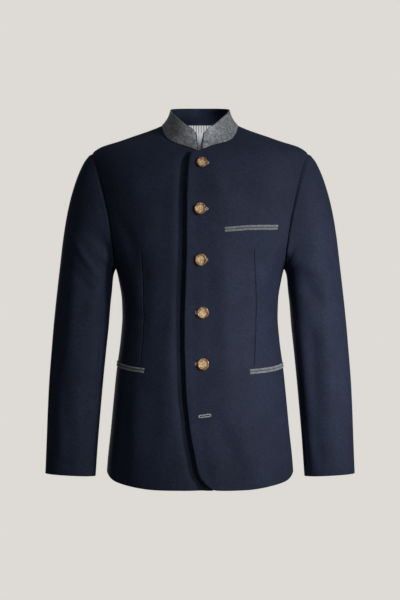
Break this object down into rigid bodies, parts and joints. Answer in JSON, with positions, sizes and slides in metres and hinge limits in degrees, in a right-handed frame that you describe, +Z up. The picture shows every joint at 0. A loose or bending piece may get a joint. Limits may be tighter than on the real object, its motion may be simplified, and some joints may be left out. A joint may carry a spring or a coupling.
{
  "type": "stand-collar jacket",
  "caption": "Men's navy wool jacket with a grey felt stand collar, horn-look buttons down the front and grey jetted pockets, filled out and hollow.",
  "frame": {"origin": "centre of the neck hole at the height of the side neck points, where the jacket is held", "axes": "+Z up, -Y to the front of the jacket, +X to the wearer's left"},
  "size_m": [0.63, 0.2501, 0.7775],
  "materials": {
    "navy_wool": "fine matt twill",
    "grey_felt": "matt felt",
    "striped_lining": "smooth satin",
    "horn": "polished",
    "thread": "twisted"
  },
  "bodies": {
    "root": {"front_left": "navy_wool", "front_right": "navy_wool", "back_left": "navy_wool", "back_right": "navy_wool", "sleeve_left_top": "navy_wool", "sleeve_left_under": "navy_wool", "sleeve_right_top": "navy_wool", "sleeve_right_under": "navy_wool", "collar_inner": "navy_wool", "collar_outer": "grey_felt", "breast_pocket_upper": "grey_felt", "breast_pocket_lower": "grey_felt", "pocket_left_upper": "grey_felt", "pocket_left_lower": "grey_felt", "pocket_right_upper": "grey_felt", "pocket_right_lower": "grey_felt", "lining_back_neck": "striped_lining", "collar_tab": "striped_lining", "button_1": "horn", "button_2": "horn", "button_3": "horn", "button_4": "horn", "button_5": "horn", "thread_1": "thread", "thread_2": "thread", "thread_3": "thread", "thread_4": "thread", "thread_5": "thread"}
  },
  "joints": []
}
